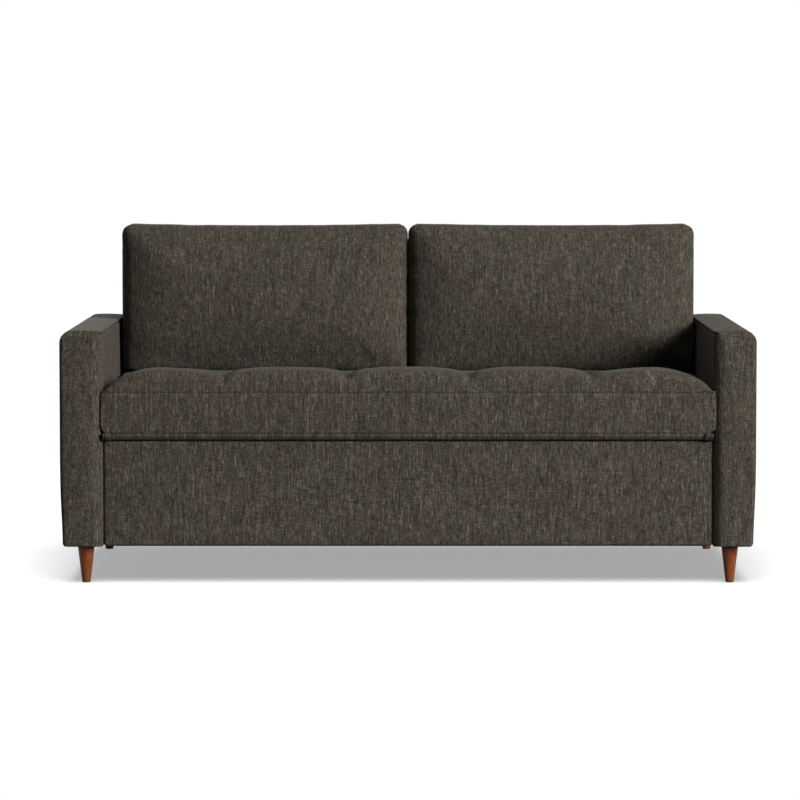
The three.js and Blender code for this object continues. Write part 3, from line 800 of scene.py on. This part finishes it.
def blow_up(piece):
    """Swells the closed piece like a stuffed case, by cloth under air pressure."""
    scene = bpy.context.scene
    remesh = piece.modifiers.new("even", "REMESH")
    remesh.mode = "VOXEL"
    remesh.voxel_size = VOXEL
    bake_modifiers(piece)
    before = coordinates(piece.data)
    cloth = piece.modifiers.new("cloth", "CLOTH")
    cloth.settings.quality = CLOTH_QUALITY
    cloth.settings.use_pressure = True
    cloth.settings.uniform_pressure_force = AIR_PRESSURE
    cloth.settings.shrink_min = -CLOTH_GROWTH
    cloth.settings.effector_weights.gravity = 0.0
    cloth.point_cache.frame_start = 1
    cloth.point_cache.frame_end = SIMULATED_FRAMES
    for number in range(1, SIMULATED_FRAMES + 1):
        scene.frame_set(number)
    bake_modifiers(piece)
    scene.frame_set(1)
    moved = coordinates(piece.data) - before
    furthest = np.linalg.norm(moved, axis=1).max()
    return before + moved * min(1, LARGEST_SWELL / furthest)


def back_cushion_mesh():
    """The +X cushion, stuffed, standing on the seat and leaning on the back."""
    low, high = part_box("back_cushion_right")
    low.z -= BACK_SETTLE
    high.x += BACK_OUTER_REACH
    inner_low = low + Vector((BACK_SIDE_INSET, BACK_FRONT_INSET, -BACK_SINK))
    inner_high = high - Vector((BACK_SIDE_INSET, BACK_REAR_INSET, BACK_TOP_INSET))
    zone = BACK_ROUND + FINE_STEP
    points, faces = soft_box(inner_low, inner_high, BACK_ROUND, ((zone, zone),) * 3)
    piece = mesh_object("back_cushion_padded_right", points, faces, MATERIALS["upholstery"])
    points = blow_up(piece)
    points[:, 1] = np.minimum(points[:, 1], high.y)
    points[:, 2] = np.clip(points[:, 2], low.z, high.z + BACK_TOP_RISE)
    points[:, 0] = np.clip(points[:, 0], low.x - BACK_MIDDLE_SWELL, high.x + BACK_OUTER_SWELL)
    piece.data.vertices.foreach_set("co", points.ravel())
    subdivision = piece.modifiers.new("fine", "SUBSURF")
    subdivision.levels = 1
    bake_modifiers(piece)
    points = coordinates(piece.data)
    across = np.abs(2 * points[:, 0] - low.x - high.x) / (high.x - low.x)
    forward = smooth((high.y - points[:, 1]) / (high.y - low.y))
    rise = np.clip((points[:, 2] - low.z) / (high.z - low.z), 0, 1)
    points[:, 1] += BACK_PILLOW * across ** BACK_PILLOW_POWER * forward
    points[:, 1] += BACK_TUCK * (1 - rise) ** BACK_TUCK_POWER * forward
    near_top = smooth((rise - BACK_TOP_START) / BACK_TOP_SHARE)
    points[:, 2] -= BACK_TOP_SAG * (1 - across ** 2) * near_top
    points[:, 2] += ripple(points * ACROSS_ONLY, *BACK_TOP_UNEVEN) * near_top
    points[:, 1] += back_seam(points, low, high)
    piece.data.vertices.foreach_set("co", points.ravel())
    piece.data.shade_smooth()
    return piece


def back_seam(points, low, high):
    """Depth of the seam that runs across the front of the cushion just under its top."""
    in_front = points[:, 1] < (low.y + high.y) / 2
    height = high.z - BACK_SEAM_DROP + ripple(points * ACROSS_ONLY, *BACK_SEAM_UNEVEN)
    ends = smooth((points[:, 0] - low.x) / BACK_ROUND) * smooth((high.x - points[:, 0]) / BACK_ROUND)
    depth = SEAM_DEPTH * bump(points[:, 2] - height, BACK_SEAM_WIDTH) * ends
    return np.where(in_front, depth, 0.0)


def make_back_cushions():
    """Two cushions side by side, the left one a mirror image of the right one."""
    right = back_cushion_mesh()
    left_mesh = right.data.copy()
    left_mesh.transform(Matrix.Scale(-1.0, 4, (1.0, 0.0, 0.0)))
    left_mesh.flip_normals()
    left = bpy.data.objects.new("back_cushion_padded_left", left_mesh)
    bpy.context.scene.collection.objects.link(left)
    for piece, side in ((right, "right"), (left, "left")):
        place_on(piece, "back", "upholstery", f"back_cushion_{side}")


# Mattress

MATTRESS_ROUND = 0.014
MATTRESS_ZONE = 0.02
QUILT_PITCH = 0.11
QUILT_DEPTH = 0.004
QUILT_STEEPNESS = 4
QUILT_RIM = 0.02
QUILT_FADE = 0.03


def make_mattress(part, body):
    """One foam section in quilted ticking."""
    node = f"mattress_{part}"
    low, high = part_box(node)
    sizes, thin, flat = slab_axes(low, high)
    points, faces = soft_box(low, high, MATTRESS_ROUND, ((MATTRESS_ZONE, MATTRESS_ZONE),) * 3)
    share = shares(points, low, high)
    first, second = points[:, flat[0]] / QUILT_PITCH, points[:, flat[1]] / QUILT_PITCH
    lines = np.abs(np.sin(pi * (first + second))) * np.abs(np.sin(pi * (first - second)))
    rim = np.min([np.minimum(share[i], 1 - share[i]) * sizes[i] for i in flat], axis=0)
    inside = smooth((rim - QUILT_RIM) / QUILT_FADE)
    depth = QUILT_DEPTH * inside * (np.sqrt(np.clip(lines * QUILT_STEEPNESS, 0, 1)) - 1)
    points[:, thin] += np.sign(share[thin] - 0.5) * depth
    piece = mesh_object(f"mattress_quilted_{part}", points, faces, MATERIALS["ticking"])
    place_on(piece, body, "ticking", node)


# Dust cover

DUST_THICKNESS = 0.0012
DUST_EDGE = 0.0005
DUST_SAG = 0.0014


def make_dust_cover():
    """Thin cloth, stretched under the cross rails, which sags a little."""
    low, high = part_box("dust_cover")
    width, length = high.x - low.x, high.y - low.y
    low.z = high.z - DUST_THICKNESS
    points, faces = soft_box(low, high, DUST_EDGE)
    across = 2 * (points[:, 0] - low.x) / width - 1
    along = 2 * (points[:, 1] - low.y) / length - 1
    points[:, 2] -= DUST_SAG * (1 - across ** 2) * (1 - along ** 2)
    piece = mesh_object("dust_sheet", points, faces, MATERIALS["dust_cloth"])
    place_on(piece, "root", "dust_cloth", "dust_cover")


# Legs

LEG_SIDES = 48
LEG_RINGS = 12
LEG_FOOT = 0.0113
LEG_RIM = 0.0022
LEG_RIM_INSET = 0.0020
LEG_RIM_EASE = 0.0006


def leg_profile(top, height):
    """Radius and height of each ring, from the foot up."""
    taper = [i / LEG_RINGS for i in range(1, LEG_RINGS + 1)]
    return [
        (0.0, 0.0),
        (LEG_FOOT - LEG_RIM_INSET, 0.0),
        (LEG_FOOT - LEG_RIM_EASE, LEG_RIM_EASE),
        (LEG_FOOT, LEG_RIM),
        *((LEG_FOOT + (top - LEG_FOOT) * share, LEG_RIM + (height - LEG_RIM) * share) for share in taper),
        (0.0, height),
    ]


def make_leg(place):
    """A turned leg: a straight taper with an eased rim at the foot."""
    node = f"leg_{place}"
    low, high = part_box(node)
    centre = (low + high) / 2
    profile = leg_profile((high.x - low.x) / 2, high.z - low.z)
    points, faces = [], []
    for radius, z in profile:
        for i in range(LEG_SIDES):
            angle = 2 * pi * i / LEG_SIDES
            points.append((centre.x + radius * cos(angle), centre.y + radius * sin(angle), low.z + z))
    for ring in range(len(profile) - 1):
        for i in range(LEG_SIDES):
            a, b = ring * LEG_SIDES + i, ring * LEG_SIDES + (i + 1) % LEG_SIDES
            faces.append((a, b, b + LEG_SIDES, a + LEG_SIDES))
    piece = mesh_object(f"turned_leg_{place}", points, faces, MATERIALS["leg_wood"])
    place_on(piece, "root", "leg_wood", node)


# Surroundings

# Camera
CAMERA_DISTANCE = 10.56
CAMERA_HEIGHT = 1.24
CAMERA_LENS = 179.7
CAMERA_SENSOR = 36.0
CAMERA_PITCH = radians(4.05)
CAMERA_SHIFT = -0.0100
CAMERA_REACH = 100.0

# Lamps, each with its direction, size and level
LIT_POINT = Vector((0.0, 0.0, 0.45))
LAMP_DISTANCE = 14.0
LAMPS = {
    "key": ((0.69, -0.65, 0.33), 5.0, 1.48),
    "top": ((0.10, -0.25, 0.95), 4.5, 0.17),
    "rear": ((-0.30, 0.93, 0.12), 5.0, 0.4),
}
FLOOR_LAMP = ((0.03, -0.45, 0.89), 10.0, 1.35)
FLOOR_LAMP_LENGTH = 18.0
AMBIENT = 0.10

# Floor and backdrop
FLOOR_HALF = 3.2
FLOOR_SHADE = 0.08
FLOOR_TONE = 0.95
FLOOR_LIFT = 0.37
WHITE = (1.0, 1.0, 1.0, 1.0)


def make_camera():
    """A view of the front from a little above, at a distance from the front of the arms."""
    data = bpy.data.cameras.new("camera")
    data.lens = CAMERA_LENS
    data.sensor_width = CAMERA_SENSOR
    data.shift_x = CAMERA_SHIFT
    data.clip_end = CAMERA_REACH
    camera = bpy.data.objects.new("camera", data)
    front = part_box("arm_cover_right")[0].y
    camera.location = (0.0, front - CAMERA_DISTANCE, CAMERA_HEIGHT)
    camera.rotation_euler = (pi / 2 - CAMERA_PITCH, 0.0, 0.0)
    bpy.context.scene.collection.objects.link(camera)
    bpy.context.scene.camera = camera


def make_lamp(name, direction, size, level):
    """A soft lamp aimed at the object. Level 1 shows a colour that faces it as it is written."""
    data = bpy.data.lights.new(name, "AREA")
    data.size = size
    data.energy = level * (pi * LAMP_DISTANCE) ** 2
    lamp = bpy.data.objects.new(name, data)
    towards = Vector(direction).normalized()
    lamp.location = LIT_POINT + towards * LAMP_DISTANCE
    lamp.rotation_mode = "QUATERNION"
    lamp.rotation_quaternion = (-towards).to_track_quat("-Z", "Y")
    bpy.context.scene.collection.objects.link(lamp)
    return lamp


def lights_only(lamp, name, piece, state):
    """The lamp lights this piece alone, or everything but this piece."""
    group = bpy.data.collections.new(name)
    group.objects.link(piece)
    group.collection_objects[0].light_linking.link_state = state
    lamp.light_linking.receiver_collection = group


def make_lights(floor):
    """Lamps for the object alone, and a broad one over the floor for its shadow."""
    for name, settings in LAMPS.items():
        lights_only(make_lamp(name, *settings), f"not_by_{name}", floor, "EXCLUDE")
    broad = make_lamp("floor_lamp", *FLOOR_LAMP)
    broad.data.shape = "RECTANGLE"
    broad.data.size_y = FLOOR_LAMP_LENGTH
    lights_only(broad, "by_floor_lamp", floor, "INCLUDE")


def seen_directly(tree):
    """1 for rays that should meet the white surroundings: camera, mirror and glass rays."""
    path = add(tree, "ShaderNodeLightPath").outputs
    both = maths(tree, "MAXIMUM", path["Is Camera Ray"], path["Is Glossy Ray"])
    return maths(tree, "MAXIMUM", both, path["Is Transmission Ray"])


def two_faced(tree, unseen, seen, output):
    """Shows one shader to the rays that light the object, and the other to those seen directly."""
    both = add(tree, "ShaderNodeMixShader", inputs={0: seen_directly(tree)})
    tree.links.new(unseen.outputs[0], both.inputs[1])
    tree.links.new(seen.outputs[0], both.inputs[2])
    tree.links.new(both.outputs[0], add(tree, output).inputs[0])


def make_world():
    """White where it is seen, and a faint even light on the object."""
    world = bpy.data.worlds.new("studio")
    bpy.context.scene.world = world
    world.use_nodes = True
    tree = world.node_tree
    tree.nodes.clear()
    soft = add(tree, "ShaderNodeBackground", inputs={"Color": WHITE, "Strength": AMBIENT})
    white = add(tree, "ShaderNodeBackground", inputs={"Color": WHITE, "Strength": 1.0})
    two_faced(tree, soft, white, "ShaderNodeOutputWorld")


def floor_material():
    """A pale floor that keeps shadows where it is seen, and is dark for the object's light."""
    material = bpy.data.materials.new("floor_white")
    material.use_nodes = True
    tree = material.node_tree
    tree.nodes.clear()
    plain, bright = (
        add(tree, "ShaderNodeBsdfDiffuse", inputs={"Color": (tone, tone, tone, 1.0)})
        for tone in (FLOOR_SHADE, FLOOR_TONE)
    )
    lift = add(tree, "ShaderNodeEmission", inputs={"Color": WHITE, "Strength": FLOOR_LIFT})
    seen = add(tree, "ShaderNodeAddShader")
    tree.links.new(bright.outputs[0], seen.inputs[0])
    tree.links.new(lift.outputs[0], seen.inputs[1])
    two_faced(tree, plain, seen, "ShaderNodeOutputMaterial")
    return material


def make_floor():
    """A plain square floor, which isn't part of the object."""
    half = FLOOR_HALF
    points = [(-half, -half, 0.0), (half, -half, 0.0), (half, half, 0.0), (-half, half, 0.0)]
    floor = mesh_object("floor", points, [(0, 1, 2, 3)], floor_material())
    return floor


bpy.context.scene.view_settings.view_transform = "Standard"
make_camera()
make_lights(make_floor())
make_world()
dress_cad_nodes()
make_arms()
make_panels()
make_seat_band()
make_seat_cushion()
make_back_cushions()
for part, body in (("head", "head"), ("middle", "seat"), ("foot", "back")):
    make_mattress(part, body)
make_dust_cover()
for place in ("front_left", "front_right", "rear_left", "rear_right"):
    make_leg(place)
